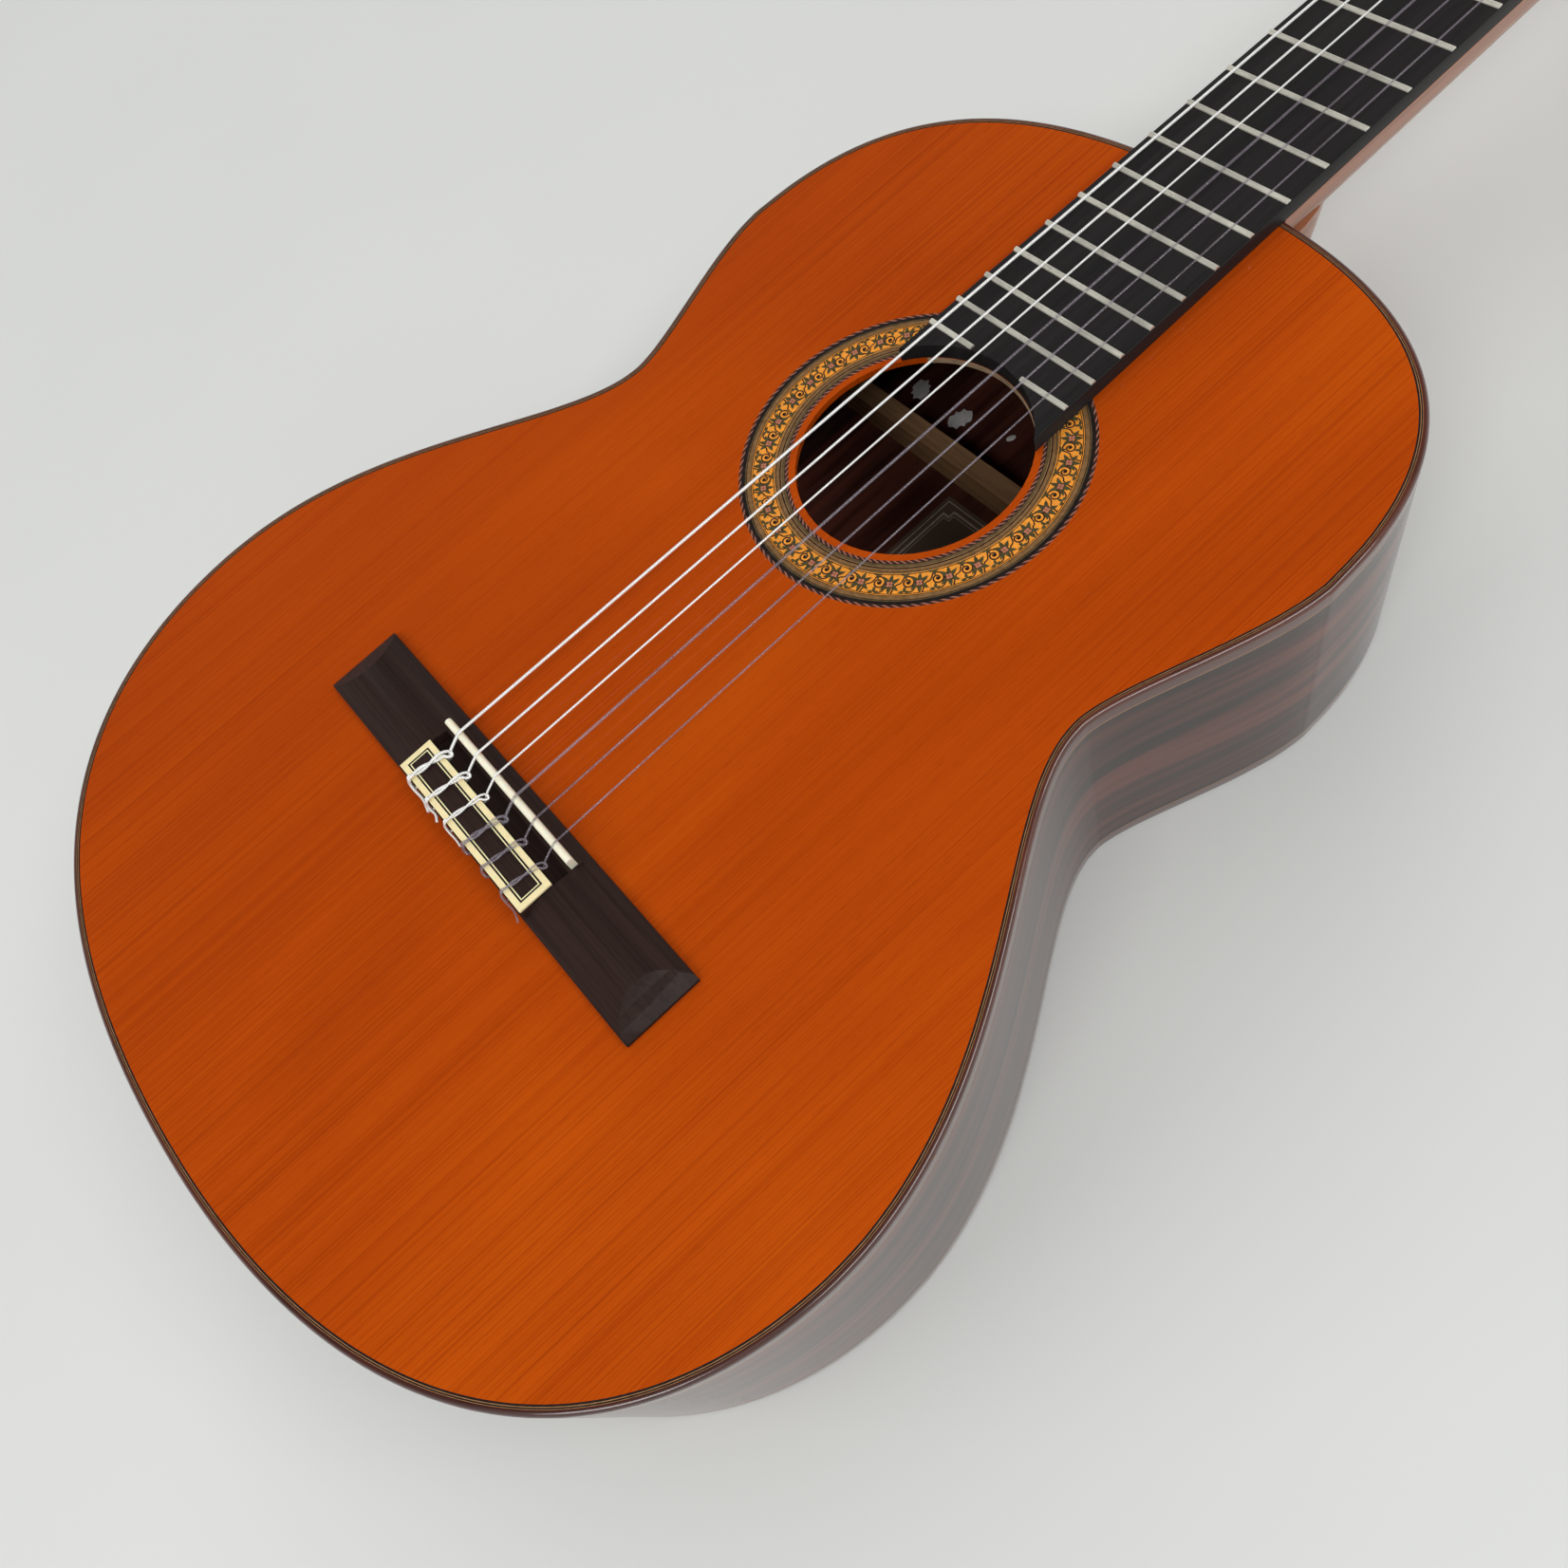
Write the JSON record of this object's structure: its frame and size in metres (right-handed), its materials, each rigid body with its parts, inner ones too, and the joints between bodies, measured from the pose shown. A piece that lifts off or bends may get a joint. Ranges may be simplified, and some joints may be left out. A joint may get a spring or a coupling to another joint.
{
  "type": "classical guitar",
  "caption": "Nylon-string classical guitar with a cedar soundboard, round soundhole, rosette, tie bridge and slotted headstock with working worm tuners.",
  "frame": {"origin": "on the outer face of the back, on the middle line, half-way along the body", "axes": "+Y towards the headstock, +X towards the treble side, +Z out of the soundboard; the guitar lies on its back"},
  "size_m": [0.362, 0.995, 0.1107],
  "materials": {
    "cedar_top": "gloss lacquer over straight-grained cedar",
    "rosewood": "gloss lacquer",
    "binding_wood": "gloss lacquer",
    "purfling": "black line between two thin pale lines",
    "rosette_lines": "inlaid veneer lines",
    "rosette_mosaic": "inlaid end-grain mosaic",
    "spruce": "bare",
    "neck_wood": "satin lacquer",
    "ebony": "oiled",
    "bridge_wood": "satin",
    "bone": "polished",
    "label_paper": "matt",
    "fret_wire": "polished",
    "brass": "polished and engraved",
    "steel": "polished",
    "button_plastic": "pearly",
    "roller_plastic": "satin",
    "wound_string": "silver-plated winding",
    "nylon_string": "clear"
  },
  "bodies": {
    "root": {"soundboard": "cedar_top", "rosette_lines": "rosette_lines", "rosette_mosaic": "rosette_mosaic", "back": "rosewood", "back_centre_strip": "binding_wood", "side_bass": "rosewood", "side_treble": "rosewood", "top_binding": "binding_wood", "top_purfling": "purfling", "back_binding": "binding_wood", "end_graft": "binding_wood", "linings": "spruce", "tail_block": "spruce", "fan_braces": "spruce", "harmonic_bars": "spruce", "back_bars": "spruce", "label": "label_paper", "neck": "neck_wood", "heel_cap": "rosewood", "headstock": "neck_wood", "head_veneer": "rosewood", "fingerboard": "ebony", "frets": "fret_wire", "nut": "bone", "saddle": "bone", "bridge": "bridge_wood", "tie_block_inlay": "bone", "tuner_plate_bass": "brass", "tuner_plate_treble": "brass", "plate_screws": "brass", "string_1": "nylon_string", "string_2": "nylon_string", "string_3": "nylon_string", "string_4": "wound_string", "string_5": "wound_string", "string_6": "wound_string"},
    "tuner_button_1": {"worm_1": "steel", "button_1": "button_plastic"},
    "tuner_roller_1": {"roller_1": "roller_plastic", "gear_1": "brass"},
    "tuner_button_2": {"worm_2": "steel", "button_2": "button_plastic"},
    "tuner_roller_2": {"roller_2": "roller_plastic", "gear_2": "brass"},
    "tuner_button_3": {"worm_3": "steel", "button_3": "button_plastic"},
    "tuner_roller_3": {"roller_3": "roller_plastic", "gear_3": "brass"},
    "tuner_button_4": {"worm_4": "steel", "button_4": "button_plastic"},
    "tuner_roller_4": {"roller_4": "roller_plastic", "gear_4": "brass"},
    "tuner_button_5": {"worm_5": "steel", "button_5": "button_plastic"},
    "tuner_roller_5": {"roller_5": "roller_plastic", "gear_5": "brass"},
    "tuner_button_6": {"worm_6": "steel", "button_6": "button_plastic"},
    "tuner_roller_6": {"roller_6": "roller_plastic", "gear_6": "brass"}
  },
  "joints": [
    {"name": "button_1_turn", "type": "hinge", "parent": "root", "child": "tuner_button_1", "pos_m": [0.0413, 0.61605, 0.07724], "axis": [0, 0.2419, 0.9703], "continuous": true},
    {"name": "roller_1_turn", "type": "hinge", "parent": "root", "child": "tuner_roller_1", "pos_m": [0.0413, 0.6241, 0.07524], "axis": [1, 0, 0], "continuous": true},
    {"name": "button_2_turn", "type": "hinge", "parent": "root", "child": "tuner_button_2", "pos_m": [0.0413, 0.65001, 0.06878], "axis": [0, 0.2419, 0.9703], "continuous": true},
    {"name": "roller_2_turn", "type": "hinge", "parent": "root", "child": "tuner_roller_2", "pos_m": [0.0413, 0.65806, 0.06677], "axis": [1, 0, 0], "continuous": true},
    {"name": "button_3_turn", "type": "hinge", "parent": "root", "child": "tuner_button_3", "pos_m": [0.0413, 0.68397, 0.06031], "axis": [0, 0.2419, 0.9703], "continuous": true},
    {"name": "roller_3_turn", "type": "hinge", "parent": "root", "child": "tuner_roller_3", "pos_m": [0.0413, 0.69202, 0.0583], "axis": [1, 0, 0], "continuous": true},
    {"name": "button_4_turn", "type": "hinge", "parent": "root", "child": "tuner_button_4", "pos_m": [-0.0413, 0.68397, 0.06031], "axis": [0, 0.2419, 0.9703], "continuous": true},
    {"name": "roller_4_turn", "type": "hinge", "parent": "root", "child": "tuner_roller_4", "pos_m": [-0.0413, 0.69202, 0.0583], "axis": [1, 0, 0], "continuous": true},
    {"name": "button_5_turn", "type": "hinge", "parent": "root", "child": "tuner_button_5", "pos_m": [-0.0413, 0.65001, 0.06878], "axis": [0, 0.2419, 0.9703], "continuous": true},
    {"name": "roller_5_turn", "type": "hinge", "parent": "root", "child": "tuner_roller_5", "pos_m": [-0.0413, 0.65806, 0.06677], "axis": [1, 0, 0], "continuous": true},
    {"name": "button_6_turn", "type": "hinge", "parent": "root", "child": "tuner_button_6", "pos_m": [-0.0413, 0.61605, 0.07724], "axis": [0, 0.2419, 0.9703], "continuous": true},
    {"name": "roller_6_turn", "type": "hinge", "parent": "root", "child": "tuner_roller_6", "pos_m": [-0.0413, 0.6241, 0.07524], "axis": [1, 0, 0], "continuous": true}
  ],
  "couplings": [
    {"joint": "roller_1_turn", "follows": "button_1_turn", "ratio": 0.071429},
    {"joint": "roller_2_turn", "follows": "button_2_turn", "ratio": 0.071429},
    {"joint": "roller_3_turn", "follows": "button_3_turn", "ratio": 0.071429},
    {"joint": "roller_4_turn", "follows": "button_4_turn", "ratio": 0.071429},
    {"joint": "roller_5_turn", "follows": "button_5_turn", "ratio": 0.071429},
    {"joint": "roller_6_turn", "follows": "button_6_turn", "ratio": 0.071429}
  ]
}
